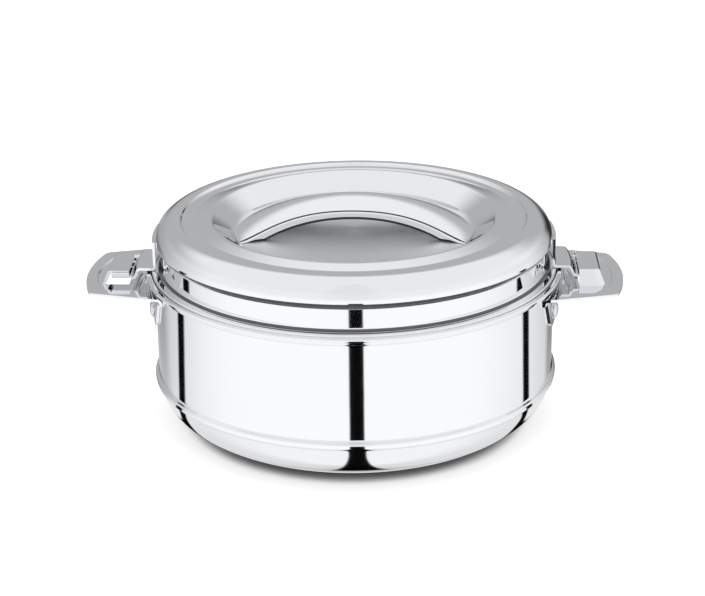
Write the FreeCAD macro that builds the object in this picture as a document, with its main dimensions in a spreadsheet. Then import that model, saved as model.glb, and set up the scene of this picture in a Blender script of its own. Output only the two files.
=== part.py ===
import FreeCAD, Part

import functools
import math
import os
import re

import Sketcher
from FreeCAD import Placement, Rotation, Vector

# Insulated chapati casserole: a double-walled steel pot with two stamped side handles, and a double-walled
# lid that locks with a twist. Millimetres, +Z up, Z is the pot's axis, the handles lie on +X and -X, and
# the pot stands on Z = 0. Turned anticlockwise, the lid's ears leave the bridges of the handles.

doc = FreeCAD.newDocument("ChapatiCasserole")

# ---------------------------------------------------------------- driving dimensions

SIZES = (
    # outer shell
    ("wall_radius", 120.8, "outside of the pot's straight wall"),
    ("rim_height", 97.1, "top of the pot's rim hem"),
    ("pot_sheet", 0.7, "sheet of the pot and lid pressings"),
    ("seam_gap", 0.1, "play between the layers of a folded seam"),
    ("bead_height", 27.7, "lower crease of the pressed bead"),
    ("bead_width", 5.4, "from the bead's lower crease to its upper one"),
    ("bead_depth", 2.2, "how far the bead stands out of the wall"),
    ("bead_bend", 1.4, "rounding of the bead"),
    ("bowl_side_inset", 3.4, "bowl's upper corner, in from the wall"),
    ("bowl_side_height", 14.5, "bowl's upper corner, above the table"),
    ("bowl_side_bend", 25, "rounding of the bowl's upper corner"),
    ("bowl_low_inset", 18, "bowl's lower corner, in from the wall"),
    ("bowl_low_height", 4.2, "bowl's lower corner, above the table"),
    ("bowl_low_bend", 52, "rounding of the bowl's lower corner"),
    ("foot_inset", 31, "outer corner of the standing ring, in from the wall"),
    ("foot_bend", 28, "rounding into the standing ring"),
    ("foot_width", 10, "width of the standing ring"),
    ("base_recess", 1.6, "height of the panel inside the standing ring"),
    ("fill_hole_radius", 9, "hole that the foam is poured through"),
    ("plug_radius", 13, "head of the button that closes the hole"),
    ("plug_head", 0.9, "thickness of that head"),
    ("plug_barb", 0.6, "barb of the button, beyond the hole"),
    ("plug_depth", 4, "how far the button reaches past the sheet"),
    ("plug_taper", 2, "taper of the button's end"),
    ("small_bend", 1.5, "ordinary press bend"),
    # rim hem and ledge
    ("hem_inset", 1.9, "inner side of the rim hem, out from the wall"),
    ("hem_width", 3.4, "width of the flat rim hem"),
    ("hem_depth", 2.3, "depth of the flat rim hem"),
    ("hem_bend", 0.95, "rounding of the hem's edges"),
    ("crease_bend", 0.5, "sharp inner crease of a press step"),
    ("ledge_depth", 3.3, "ledge for the lid, below the top of the hem"),
    # liner
    ("wall_gap", 15.8, "from the pot's outside to the food vessel's inside"),
    ("liner_floor", 12, "inside floor of the food vessel"),
    ("liner_bend", 18, "rounding between the vessel's floor and wall"),
    ("mouth_bend", 2.5, "rounding at the vessel's mouth"),
    ("foam_gap", 0.3, "play drawn between foam and sheet"),
    # lid
    ("lid_clearance", 0.3, "play between the lid's flange and the rim hem"),
    ("flange_depth", 2.5, "depth of the lid's flange seam"),
    ("flange_fold", 3.2, "how far the flange is folded back under itself"),
    ("waist_inset", 3.6, "lid's waist, in from the wall"),
    ("waist_height", 15.1, "from the flange to the dome's lower edge"),
    ("waist_bend", 2.2, "rounding at the foot of the waist"),
    ("dome_crease_bend", 1.2, "rounding between the waist and the dome's lower edge"),
    ("dome_inset", 1.3, "widest part of the lid's dome, in from the wall"),
    ("dome_height", 14.4, "from the dome's lower edge to its crest"),
    ("dome_flank", 2.2, "upright part of the dome's side, below its rounded shoulder"),
    ("ring_width", 15.4, "from the dome's widest part to the step inside its crest"),
    ("step_depth", 1.4, "step from the dome's crest down to the flat ledge"),
    ("step_run", 0.8, "width of that step"),
    ("terrace_width", 6.5, "flat ledge inside the step"),
    ("rib_width", 10.4, "from the ledge to the corner of the raised ring"),
    ("rib_height", 1.9, "corner of the raised ring, above the ledge"),
    ("rib_bend", 5, "rounding of the raised ring"),
    ("recess_run", 13.2, "sloped wall from the raised ring to the recess floor"),
    ("recess_depth", 9.2, "recess floor, below the dome's crest"),
    ("recess_bend", 3, "rounding at the recess floor"),
    ("pan_inset", 2.5, "lid's inner pan, in from the food vessel's wall"),
    ("pan_depth", 7, "how far the inner pan hangs below its flange"),
    ("pan_bend", 4, "rounding of the inner pan's corner"),
    ("seat_thickness", 1.8, "silicone seat ring between the ledge and the lid's flange"),
    ("seat_width", 9, "width of the silicone seat ring"),
    ("seat_play", 0.8, "play round the seat ring"),
    # grip
    ("grip_rise", 22, "top of the grip above the recess floor"),
    ("grip_clearance", 4.2, "ends of the grip's arch, in from the corner of the recess floor"),
    ("grip_waist", 20.1, "half width at which the grip's straight flanks would meet in the middle"),
    ("grip_waist_bend", 400, "rounding of the grip's waist in plan"),
    ("grip_end", 29.5, "half width of the grip at its ends"),
    ("grip_edge_bend", 2.6, "rounding of the grip's edges"),
    ("grip_depth", 7.2, "from the top of the grip's back to the foot of its turned-down lips"),
    ("grip_sheet", 1.2, "sheet of the grip"),
    ("grip_margin", 3, "how far the cutting outlines reach past the grip"),
    # handles
    ("handle_sheet", 1.6, "sheet of the handles"),
    ("handle_drop", 7.5, "top of the handle's rim, below the top of the pot's rim"),
    ("handle_reach", 41.4, "from the pot's wall to the tip of the handle"),
    ("handle_root", 46.3, "half width of the handle at the wall"),
    ("handle_root_set", 5.3, "corners of that root, in from the wall's front line"),
    ("handle_end", 35.9, "half width of the handle at its outer corners"),
    ("handle_corner", 35.9, "outer corners, out from the wall"),
    ("handle_corner_bend", 6, "rounding of the outer corners"),
    ("handle_tip_bow", 4.7, "how far the bow's corner stands beyond the tip"),
    ("handle_tip_bend", 108, "rounding of the bowed tip"),
    ("dish_depth", 1, "how far the handle's floor is pressed down"),
    ("dish_rim", 6.4, "width of the flat rim left round that floor, at the tip"),
    ("dish_side_rim", 6.6, "width of that rim, at the outer corners"),
    ("dish_start", 5.9, "inner edge of the pressed floor, out from the wall"),
    ("dish_corner_bend", 5, "rounding of the pressed floor's corners"),
    ("dish_tip_bend", 70, "rounding of the pressed floor's tip"),
    ("dish_draft", 40, "slope of the pressed step, degrees"),
    ("root_bend", 3, "outer bend between handle and wall flange"),
    ("flange_drop", 23.1, "wall flange of the handle, below its top"),
    ("flange_top_half", 42, "half width of the wall flange at its top"),
    ("flange_foot_half", 32, "half width of the wall flange at its foot"),
    ("flange_corner_bend", 8, "rounding of the wall flange's lower corners"),
    ("flange_turn", 60, "turn of the uncut wall flange round the pot, degrees"),
    ("wall_fit", 0.1, "play drawn between the pot's wall and what is riveted to it"),
    # lock bridge
    ("bridge_rise", 7.6, "top of the bridge above the handle's rim"),
    ("bridge_inner", 14.4, "inner edge of the bridge, out from the wall"),
    ("bridge_outer", 26.9, "outer edge of the bridge's top, out from the wall"),
    ("bridge_flare", 3.6, "how much wider the bridge is at its foot"),
    ("bridge_open", 18.3, "open end of the bridge"),
    ("bridge_closed", 15.2, "closed end of the bridge's top"),
    ("bridge_ramp", 4.4, "slope of the closed end"),
    ("bridge_bend", 2.6, "rounding of the bridge's top edges"),
    ("bridge_corner_bend", 5, "rounding of the bridge's corner in plan"),
    # rivets
    ("rivet_spread", 22.6, "each rivet, from the handle's middle"),
    ("rivet_drop", 15, "rivets, below the handle's top"),
    ("rivet_head_radius", 5.4, "rivet head"),
    ("rivet_head_height", 2.2, "rivet head"),
    ("rivet_radius", 1.8, "rivet shank"),
    ("rivet_play", 0.1, "play round the shank"),
    ("washer_radius", 6, "backing washer"),
    ("washer_thickness", 1, "backing washer"),
    ("washer_fit", 0.25, "play between the flat washer and the curved shell"),
    ("rivet_head_bend", 2.4, "rounding of the rivet head"),
    ("rivet_room", 7.4, "depth of the hollow in the foam behind a rivet's seat"),
    ("rivet_tail_radius", 3.2, "upset tail of the rivet"),
    ("rivet_tail_height", 1.4, "upset tail of the rivet"),
    # lock ears
    ("ear_sheet", 1.5, "sheet of the ears"),
    ("ear_leg", 8, "height of the ear's welded leg"),
    ("ear_flat", 10.2, "flat of the ear, out from the wall"),
    ("ear_step_run", 2.6, "width of the ear's step"),
    ("ear_tip", 25.7, "end of the ear's tongue, out from the wall"),
    ("tongue_height", 4.4, "top of the tongue above the handle's rim"),
    ("ear_lead", 14, "leading end of the ear, from its middle"),
    ("ear_trail", 20.3, "trailing end of the ear, from its middle"),
    ("ear_bend", 1, "inner bend of the ear"),
    ("ear_corner_bend", 3, "rounding of the tongue's corners in plan"),
    ("stop_height", 3.9, "stop lip at the trailing end, over all"),
    ("stop_inset", 1.2, "stop lip, in from the tongue's end"),
    ("ear_tip_cut", 0.4, "tongue's straight end, in from its round blank"),
    ("ear_turn", 30, "turn of the ear's uncut strip round the lid, degrees"),
)

sizes = doc.addObject("Spreadsheet::Sheet", "Sizes")
for row, (alias, value, meaning) in enumerate(SIZES, start=1):
    sizes.set(f"A{row}", meaning)
    sizes.set(f"B{row}", str(value))
    sizes.setAlias(f"B{row}", alias)
doc.recompute()


def formula(text):
    """The text of a size, with each plain name pointing at its cell of the sheet."""
    return re.sub(r"[a-z][a-z_]*[a-z]", r"Sizes.\g<0>", text)


@functools.cache
def worth(text):
    """The number that such a text stands for, worked out in a spare cell of the sheet."""
    sizes.set("D1", "=" + text)
    sizes.recompute()
    return float(sizes.get("D1"))


# ---------------------------------------------------------------- sketches


def bind(owner, path, text):
    owner.setExpression(path, formula(text))


def trimmed(corner, other, cut):
    """The point that lies cut away from corner, towards other."""
    return corner + (other - corner).normalize() * cut


def outline(sketch, corners, closed=True):
    """Lines through corners given as (x, y) or (x, y, bend), all texts, with each bend a tangent arc.

    Every corner is held at its x and y, and every arc at its bend, by a constraint bound to the sheet.
    """
    count = len(corners)
    points = [Vector(worth(c[0]), worth(c[1]), 0) for c in corners]
    bends = [worth(c[2]) if len(c) > 2 else 0 for c in corners]
    cuts = []
    for i in range(count):
        cut = 0
        if bends[i]:
            before = points[i] - points[i - 1]
            after = points[(i + 1) % count] - points[i]
            cut = bends[i] * math.tan(before.getAngle(after) / 2)
        cuts.append(cut)
    last = count if closed else count - 1
    lines = []
    for i in range(last):
        j = (i + 1) % count
        start = trimmed(points[i], points[j], cuts[i])
        end = trimmed(points[j], points[i], cuts[j])
        lines.append(sketch.addGeometry(Part.LineSegment(start, end)))
    rules = []
    bound = []

    def hold(kind, *args, text):
        bound.append((len(rules), text))
        rules.append(Sketcher.Constraint(kind, *args, worth(text)))

    for i in range(count):
        inner = closed or 0 < i < count - 1
        if not bends[i]:
            line, end = (lines[i], 1) if i < last else (lines[i - 1], 2)
            hold("DistanceX", -1, 1, line, end, text=corners[i][0])
            hold("DistanceY", -1, 1, line, end, text=corners[i][1])
            if inner:
                rules.append(Sketcher.Constraint("Coincident", lines[i - 1], 2, lines[i], 1))
            continue
        before, after = lines[i - 1], lines[i]
        start = trimmed(points[i], points[i - 1], cuts[i])
        end = trimmed(points[i], points[(i + 1) % count], cuts[i])
        reach = bends[i] / math.cos(math.atan(cuts[i] / bends[i]))
        centre = trimmed(points[i], (start + end) * 0.5, reach)
        left_turn = (points[i] - start).cross(end - points[i]).z > 0
        ends = (start, end) if left_turn else (end, start)
        angles = [math.atan2(p.y - centre.y, p.x - centre.x) for p in ends]
        full = Part.Circle(centre, Vector(0, 0, 1), bends[i])
        arc = sketch.addGeometry(Part.ArcOfCircle(full, *angles))
        entry, leave = (1, 2) if left_turn else (2, 1)
        mark = sketch.addGeometry(Part.Point(points[i]), True)
        hold("DistanceX", -1, 1, mark, 1, text=corners[i][0])
        hold("DistanceY", -1, 1, mark, 1, text=corners[i][1])
        rules.append(Sketcher.Constraint("PointOnObject", mark, 1, before))
        rules.append(Sketcher.Constraint("PointOnObject", mark, 1, after))
        rules.append(Sketcher.Constraint("Tangent", before, 2, arc, entry))
        rules.append(Sketcher.Constraint("Tangent", after, 1, arc, leave))
        hold("Radius", arc, text=corners[i][2])
    offset = sketch.ConstraintCount
    sketch.addConstraint(rules)
    for index, text in bound:
        bind(sketch, f"Constraints[{offset + index}]", text)
    return sketch


def circle(sketch, x, y, radius):
    """A circle whose centre and radius, all texts, are bound to the sheet."""
    ring = sketch.addGeometry(Part.Circle(Vector(worth(x), worth(y), 0), Vector(0, 0, 1), worth(radius)))
    offset = sketch.ConstraintCount
    sketch.addConstraint(
        [
            Sketcher.Constraint("DistanceX", -1, 1, ring, 3, worth(x)),
            Sketcher.Constraint("DistanceY", -1, 1, ring, 3, worth(y)),
            Sketcher.Constraint("Radius", ring, worth(radius)),
        ]
    )
    for index, text in enumerate((x, y, radius)):
        bind(sketch, f"Constraints[{offset + index}]", text)
    return sketch


UPRIGHT = Placement(Vector(0, 0, 0), Rotation(Vector(1, 0, 0), 90))


def upright_sketch(name, corners, closed=True):
    """A sketch in the XZ plane, outside any body: its x is the radius and its y is the height."""
    sketch = doc.addObject("Sketcher::SketchObject", name)
    sketch.Placement = UPRIGHT
    return outline(sketch, corners, closed)


def turned(name, profile, degrees=360):
    """The profile turned about Z, evenly to both sides of the XZ plane where it isn't a full turn."""
    ring = doc.addObject("Part::Revolution", name)
    ring.Source = profile
    ring.Axis = Vector(0, 0, 1)
    ring.Angle = degrees
    ring.Symmetric = degrees < 360
    ring.Solid = True
    return ring


def turned_outline(name, corners):
    return turned(name, upright_sketch(name + "_profile", corners))


def pressed_sheet(name, corners, thickness, degrees=360):
    """Sheet metal turned about Z, from the open line of one face: a thickness goes to the line's left."""
    line = upright_sketch(name + "_line", corners, closed=False)
    band = doc.addObject("Part::Offset2D", name + "_band")
    band.Source = line
    band.Mode = "Skin"
    band.Join = "Intersection"
    band.Fill = True
    bind(band, "Value", thickness)
    return turned(name, band, degrees)


def cylinder(name, radius, height, place=Placement()):
    rod = doc.addObject("Part::Cylinder", name)
    bind(rod, "Radius", radius)
    bind(rod, "Height", height)
    rod.Placement = place
    return rod


def together(name, things, kind="Part::MultiFuse"):
    group = doc.addObject(kind, name)
    if kind == "Part::Compound":
        group.Links = things
    else:
        group.Shapes = things
    return group


def cut(name, base, tool):
    left = doc.addObject("Part::Cut", name)
    left.Base = base
    left.Tool = tool
    return left


pieces = []


def finished(thing, label):
    """Marks an object as a piece of the casserole: its label names its file."""
    thing.Label = label
    pieces.append(thing)
    return thing


SIDES = (("right", 0), ("left", 180))


def about_axis(degrees):
    return Placement(Vector(0, 0, 0), Rotation(Vector(0, 0, 1), degrees))


# ---------------------------------------------------------------- heights and radii used more than once

INSET = "(pot_sheet + foam_gap)"
LINER_RADIUS = "(wall_radius - wall_gap)"
LEDGE = "(rim_height - ledge_depth)"
HEM_IN = "(wall_radius + hem_inset)"
HEM_OUT = "(wall_radius + hem_inset + hem_width)"
HEM_LOW = "(rim_height - hem_depth)"
SHELL_STEP = "(wall_radius + hem_inset + 2 * pot_sheet + seam_gap)"
SHELL_FLARE = "(rim_height - ledge_depth - 2 * pot_sheet - seam_gap)"
FOOT_IN = "(wall_radius - foot_inset - foot_width)"
HANDLE_TOP = "(rim_height - handle_drop)"

# ---------------------------------------------------------------- rivets of one handle, used by the holes

RIVET_SEAT = "(wall_radius + wall_fit + handle_sheet)"
RIVET_GRIP = "(handle_sheet + 2 * wall_fit + pot_sheet + washer_fit)"
RIVET_TAIL = "-" + RIVET_GRIP + " - washer_thickness"
RIVET_END = RIVET_TAIL + " - rivet_tail_height"


def rivet_places(degrees):
    """Where the two rivets of a handle seat, local Z pointing out of the pot."""
    seat = worth(RIVET_SEAT)
    swing = math.degrees(math.asin(worth("rivet_spread") / seat))
    height = worth(HANDLE_TOP + " - rivet_drop")
    places = []
    for side in (-swing, swing):
        turn = Rotation(Vector(0, 0, 1), degrees + side)
        out = turn.multVec(Vector(1, 0, 0))
        lie = turn.multiply(Rotation(Vector(0, 1, 0), 90))
        places.append(Placement(out * seat + Vector(0, 0, height), lie))
    return places


def bored(name, radius, reach):
    """Rods along all four rivet axes, from the rivets' seats inwards."""
    rods = []
    for side, degrees in SIDES:
        for number, place in enumerate(rivet_places(degrees), start=1):
            inwards = place.multiply(Placement(Vector(0, 0, -worth(reach)), Rotation()))
            rods.append(cylinder(f"{name}_{side}_{number}", radius, reach, inwards))
    return together(name, rods)


# ---------------------------------------------------------------- outer shell

# The pot's outside: deep-drawn, with a bowl below a pressed bead and a flared rim that the liner is
# folded over. It stands on the flat ring round its recessed base panel.
shell = pressed_sheet(
    "shell_pressing",
    (
        ("fill_hole_radius", "base_recess"),
        (FOOT_IN + " - base_recess", "base_recess", "small_bend"),
        (FOOT_IN, "0", "small_bend"),
        ("wall_radius - foot_inset", "0", "foot_bend"),
        ("wall_radius - bowl_low_inset", "bowl_low_height", "bowl_low_bend"),
        ("wall_radius - bowl_side_inset", "bowl_side_height", "bowl_side_bend"),
        ("wall_radius", "bead_height", "bead_bend"),
        ("wall_radius + bead_depth", "bead_height + bead_depth / 2", "bead_bend"),
        ("wall_radius + bead_depth", "bead_height + bead_width - bead_depth / 2", "bead_bend"),
        ("wall_radius", "bead_height + bead_width", "bead_bend"),
        ("wall_radius", SHELL_FLARE, "small_bend"),
        (SHELL_STEP, SHELL_FLARE, "small_bend"),
        (SHELL_STEP, "rim_height - 2 * pot_sheet - seam_gap"),
        (HEM_OUT + " - pot_sheet - seam_gap", "rim_height - 2 * pot_sheet - seam_gap"),
    ),
    "pot_sheet",
)
shell_holes = bored("shell_rivet_holes", "rivet_radius + rivet_play", "handle_sheet + 4 * pot_sheet")
finished(cut("shell_with_holes", shell, shell_holes), "outer_shell")

# ---------------------------------------------------------------- food vessel

# The inner liner: its mouth spreads into a ledge for the lid, steps up and is folded over the shell's
# turned edge as the flat rim hem.
finished(
    pressed_sheet(
        "liner_pressing",
        (
            ("0", "liner_floor"),
            (LINER_RADIUS, "liner_floor", "liner_bend"),
            (LINER_RADIUS, LEDGE, "mouth_bend"),
            (HEM_IN, LEDGE, "crease_bend"),
            (HEM_IN, "rim_height", "hem_bend"),
            (HEM_OUT, "rim_height", "hem_bend"),
            (HEM_OUT, HEM_LOW, "hem_bend"),
            (SHELL_STEP + " + seam_gap", HEM_LOW),
        ),
        "-pot_sheet",
    ),
    "inner_liner",
)

# ---------------------------------------------------------------- buttons that close the filling holes


def fill_plug(name, face):
    """A pressed-in button: its head is under the sheet, whose underside is at face, and its barb above."""
    over = face + " + pot_sheet"
    return turned_outline(
        name,
        (
            ("0", face + " - plug_head"),
            ("plug_radius", face + " - plug_head", "crease_bend"),
            ("plug_radius", face),
            ("fill_hole_radius - rivet_play", face),
            ("fill_hole_radius - rivet_play", over),
            ("fill_hole_radius + plug_barb", over),
            ("fill_hole_radius - plug_taper", over + " + plug_depth"),
            ("0", over + " + plug_depth"),
        ),
    )


def plug_room(face):
    """The corners of the hollow that the foam leaves round such a button, from the axis outwards."""
    return (
        ("0", face + " + pot_sheet + plug_depth + foam_gap"),
        ("fill_hole_radius + plug_barb + foam_gap", face + " + pot_sheet + plug_depth + foam_gap"),
        ("fill_hole_radius + plug_barb + foam_gap", face + " + " + INSET),
    )


finished(fill_plug("base_button", "base_recess"), "fill_plug")

# ---------------------------------------------------------------- foam between the pot's two walls

pot_foam = turned_outline(
    "pot_foam",
    (
        *plug_room("base_recess"),
        (FOOT_IN + " - base_recess + " + INSET, "base_recess + " + INSET),
        (FOOT_IN + " + " + INSET, INSET),
        ("wall_radius - foot_inset - " + INSET, INSET, "foot_bend"),
        ("wall_radius - bowl_low_inset - " + INSET, "bowl_low_height + " + INSET, "bowl_low_bend"),
        ("wall_radius - bowl_side_inset - " + INSET, "bowl_side_height + " + INSET, "bowl_side_bend"),
        ("wall_radius - " + INSET, "bead_height", "bead_bend"),
        ("wall_radius - " + INSET, LEDGE + " - " + INSET),
        (LINER_RADIUS + " + " + INSET, LEDGE + " - " + INSET, "mouth_bend - " + INSET),
        (LINER_RADIUS + " + " + INSET, "liner_floor - " + INSET, "liner_bend + " + INSET),
        ("0", "liner_floor - " + INSET),
    ),
)
foam_pockets = bored("foam_rivet_pockets", "washer_radius + foam_gap", "rivet_room")
finished(cut("pot_foam_with_pockets", pot_foam, foam_pockets), "pot_insulation")

# ---------------------------------------------------------------- silicone seat ring

FLANGE_LOW = "(rim_height - ledge_depth + seat_thickness)"
FLANGE_TOP = "(rim_height - ledge_depth + seat_thickness + flange_depth)"
FLANGE_RADIUS = "(wall_radius + hem_inset - lid_clearance)"

finished(
    turned_outline(
        "seat",
        (
            (HEM_IN + " - seat_play - seat_width", LEDGE),
            (HEM_IN + " - seat_play", LEDGE),
            (HEM_IN + " - seat_play", FLANGE_LOW, "crease_bend"),
            (HEM_IN + " - seat_play - seat_width", FLANGE_LOW, "crease_bend"),
        ),
    ),
    "seat_ring",
)

# ---------------------------------------------------------------- lid cover

WAIST = "(wall_radius - waist_inset)"
DOME = "(wall_radius - dome_inset)"
DOME_LOW = "(" + FLANGE_TOP + " + waist_height)"
CREST = "(" + DOME_LOW + " + dome_height)"
SHOULDER_BEND = "(dome_height - dome_flank)"
TERRACE = "(" + CREST + " - step_depth)"
FLOOR = "(" + CREST + " - recess_depth)"
STEP_OUT = "(" + DOME + " - ring_width)"
STEP_IN = "(" + STEP_OUT + " - step_run)"
RIB_FOOT = "(" + STEP_IN + " - terrace_width)"
RIB = "(" + RIB_FOOT + " - rib_width)"
RECESS = "(" + RIB + " - recess_run)"

# The lid's outside, drawn and pressed from one sheet: recess floor, raised ring, flat terrace, domed
# shoulder, narrow waist, and the flange folded under the inner pan's edge.
finished(
    pressed_sheet(
        "cover_pressing",
        (
            ("0", FLOOR),
            (RECESS, FLOOR, "recess_bend"),
            (RIB, TERRACE + " + rib_height", "rib_bend"),
            (RIB_FOOT, TERRACE, "small_bend"),
            (STEP_IN, TERRACE, "crease_bend"),
            (STEP_OUT, CREST, "hem_bend"),
            (DOME, CREST, SHOULDER_BEND),
            (DOME, DOME_LOW, "hem_bend"),
            (WAIST, DOME_LOW, "dome_crease_bend"),
            (WAIST, FLANGE_TOP, "waist_bend"),
            (FLANGE_RADIUS, FLANGE_TOP, "hem_bend"),
            (FLANGE_RADIUS, FLANGE_LOW, "hem_bend"),
            (FLANGE_RADIUS + " - flange_fold", FLANGE_LOW),
        ),
        "-pot_sheet",
    ),
    "lid_cover",
)

# ---------------------------------------------------------------- lid inner pan, foam and button

PAN_FLANGE = "(" + FLANGE_LOW + " + pot_sheet + seam_gap)"
PAN_LOW = "(" + PAN_FLANGE + " - pan_depth)"
PAN_RADIUS = "(" + LINER_RADIUS + " - pan_inset)"

finished(
    pressed_sheet(
        "pan_pressing",
        (
            ("fill_hole_radius", PAN_LOW),
            (PAN_RADIUS, PAN_LOW, "pan_bend"),
            (PAN_RADIUS, PAN_FLANGE, "small_bend"),
            (FLANGE_RADIUS + " - pot_sheet - seam_gap", PAN_FLANGE),
        ),
        "pot_sheet",
    ),
    "lid_inner_pan",
)

finished(fill_plug("lid_button", PAN_LOW), "lid_fill_plug")

finished(
    turned_outline(
        "lid_foam",
        (
            *plug_room(PAN_LOW),
            (PAN_RADIUS + " - " + INSET, PAN_LOW + " + " + INSET, "pan_bend - " + INSET),
            (PAN_RADIUS + " - " + INSET, PAN_FLANGE + " + " + INSET, "small_bend + " + INSET),
            (WAIST + " - " + INSET, PAN_FLANGE + " + " + INSET),
            (WAIST + " - " + INSET, DOME_LOW + " + " + INSET),
            (DOME + " - " + INSET, DOME_LOW + " + " + INSET),
            (DOME + " - " + INSET, CREST + " - " + INSET, SHOULDER_BEND + " - " + INSET),
            (STEP_OUT + " + " + INSET, CREST + " - " + INSET),
            (STEP_IN + " + " + INSET, TERRACE + " - " + INSET),
            (RIB + " + rib_bend", TERRACE + " - " + INSET),
            (RECESS + " + " + INSET, FLOOR + " - " + INSET),
            ("0", FLOOR + " - " + INSET),
        ),
    ),
    "lid_insulation",
)

# ---------------------------------------------------------------- rivets and washers

for side, degrees in SIDES:
    rivets = []
    washers = []
    for number, place in enumerate(rivet_places(degrees), start=1):
        rivet = turned_outline(
            f"{side}_rivet_{number}",
            (
                ("0", "rivet_head_height"),
                ("rivet_head_radius - rivet_head_height", "rivet_head_height", "rivet_head_bend"),
                ("rivet_head_radius", "rivet_head_height / 4"),
                ("rivet_head_radius", "0"),
                ("rivet_radius", "0"),
                ("rivet_radius", RIVET_TAIL),
                ("rivet_tail_radius", RIVET_TAIL),
                ("rivet_tail_radius", RIVET_END, "crease_bend"),
                ("0", RIVET_END),
            ),
        )
        rivet.Placement = place
        rivets.append(rivet)
        washer = turned_outline(
            f"{side}_washer_{number}",
            (
                ("rivet_radius + rivet_play", "-" + RIVET_GRIP),
                ("washer_radius", "-" + RIVET_GRIP),
                ("washer_radius", RIVET_TAIL),
                ("rivet_radius + rivet_play", RIVET_TAIL),
            ),
        )
        washer.Placement = place
        washers.append(washer)
    finished(together(f"{side}_rivet_pair", rivets, "Part::Compound"), f"{side}_handle_rivets")
    finished(together(f"{side}_washer_pair", washers, "Part::Compound"), f"{side}_rivet_washers")


# ---------------------------------------------------------------- bodies made from sketches and features


def origin_part(body, role):
    return next(part for part in body.Origin.OriginFeatures if part.Role == role)


def body_sketch(body, name, plane, out="0", up="0"):
    """A sketch on one of the body's own planes, moved out along its normal and up along its y."""
    sketch = body.newObject("Sketcher::SketchObject", name)
    sketch.AttachmentSupport = [(origin_part(body, plane), "")]
    sketch.MapMode = "FlatFace"
    bind(sketch, "AttachmentOffset.Base.z", out)
    bind(sketch, "AttachmentOffset.Base.y", up)
    return sketch


def feature(body, kind, name, profile):
    made = body.newObject("PartDesign::" + kind, name)
    made.Profile = profile
    return made


def pad(body, name, profile, length):
    made = feature(body, "Pad", name, profile)
    bind(made, "Length", length)
    return made


def through_cut(body, name, profile, reach):
    made = feature(body, "Pocket", name, profile)
    made.Midplane = True
    bind(made, "Length", "2 * " + reach)
    return made


def trimmed_through(body, name, plane, kept, reach):
    """Cuts the body right through, along a plane's normal, everywhere outside the kept outline."""
    sketch = outline(body_sketch(body, name + "_outline", plane), kept)
    frame = ((f"-{reach}", f"-{reach}"), (reach, f"-{reach}"), (reach, reach), (f"-{reach}", reach))
    outline(sketch, frame)
    return through_cut(body, name, sketch, reach)


def mirrored(corners, axis):
    """Corners on one side, followed by the same ones with the sign of x (axis 0) or y (axis 1) changed."""
    other = []
    for corner in reversed(corners):
        if corner[axis] != "0":
            flipped = list(corner)
            flipped[axis] = f"-({corner[axis]})"
            other.append(tuple(flipped))
    return (*corners, *other)


def edges_where(shape, wanted):
    """The names of the edges whose middle point passes the test."""
    names = []
    for number, edge in enumerate(shape.Edges, start=1):
        if wanted(edge.valueAt((edge.FirstParameter + edge.LastParameter) / 2)):
            names.append(f"Edge{number}")
    return names


def rounded(body, name, radius, wanted):
    """A fillet on the body's edges that pass the test."""
    doc.recompute()
    base = body.Tip
    made = body.newObject("PartDesign::Fillet", name)
    made.Base = (base, edges_where(base.Shape, wanted))
    bind(made, "Radius", radius)
    return made


# ---------------------------------------------------------------- handles

HANDLE_UNDER = "(" + HANDLE_TOP + " - handle_sheet)"
ROOT_RADIUS = "(wall_radius + wall_fit + root_bend)"
TIP_CORNER = "(wall_radius + handle_reach + handle_tip_bow)"
BRIDGE_TOP = "(" + HANDLE_TOP + " + bridge_rise)"
BRIDGE_ROOF = "(" + BRIDGE_TOP + " - handle_sheet)"
FLOOR_UNDER = "(" + HANDLE_UNDER + " - dish_depth)"
# the level width of the bridge's leaning wall, one sheet thick square to its face
BRIDGE_WALL = "(handle_sheet * (1 + (bridge_flare / (bridge_rise + handle_sheet)) ^ 2) ^ 0.5)"

PLATE = mirrored(
    (
        ("wall_radius - 2 * handle_root_set", "-handle_root"),
        ("wall_radius - handle_root_set", "-handle_root"),
        ("wall_radius + handle_corner", "-handle_end", "handle_corner_bend"),
        (TIP_CORNER, "0", "handle_tip_bend"),
    ),
    axis=1,
)
DISH = mirrored(
    (
        ("wall_radius + dish_start", "-handle_root + 2 * dish_side_rim", "dish_corner_bend"),
        ("wall_radius + handle_corner - dish_rim", "-handle_end + dish_side_rim", "dish_corner_bend"),
        (TIP_CORNER + " - dish_rim", "0", "dish_tip_bend"),
    ),
    axis=1,
)
FLANGE = mirrored(
    (
        ("-handle_root", "2 * rim_height"),
        ("-handle_root", HANDLE_UNDER + " - root_bend"),
        ("-flange_top_half", HANDLE_UNDER + " - root_bend"),
        ("-flange_foot_half", HANDLE_TOP + " - flange_drop", "flange_corner_bend"),
    ),
    axis=0,
)


def bridge_section(level, inset):
    """The level section of the lock bridge, rounded where its outer wall meets its closed end."""
    share = f"({BRIDGE_TOP} - {level}) / ({BRIDGE_TOP} - {HANDLE_UNDER})"
    outer = f"wall_radius + bridge_outer + bridge_flare * {share} - {inset}"
    closed = f"-bridge_closed - bridge_ramp * {share} + {inset}"
    return (
        ("wall_radius + bridge_inner", closed),
        (outer, closed, f"bridge_corner_bend - {inset}"),
        (outer, "bridge_open"),
        ("wall_radius + bridge_inner", "bridge_open"),
    )


def bridge_loft(body, kind, name, low, high, inset):
    """The block between two levels of the bridge: its outside, or the room inside its walls."""
    sketches = []
    for end, level in (("foot", low), ("top", high)):
        sketch = body_sketch(body, f"{name}_{end}", "XY_Plane", level)
        sketches.append(outline(sketch, bridge_section(level, inset)))
    loft = feature(body, kind, name, sketches[0])
    loft.Sections = [sketches[1]]
    loft.Ruled = True
    return loft


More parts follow.
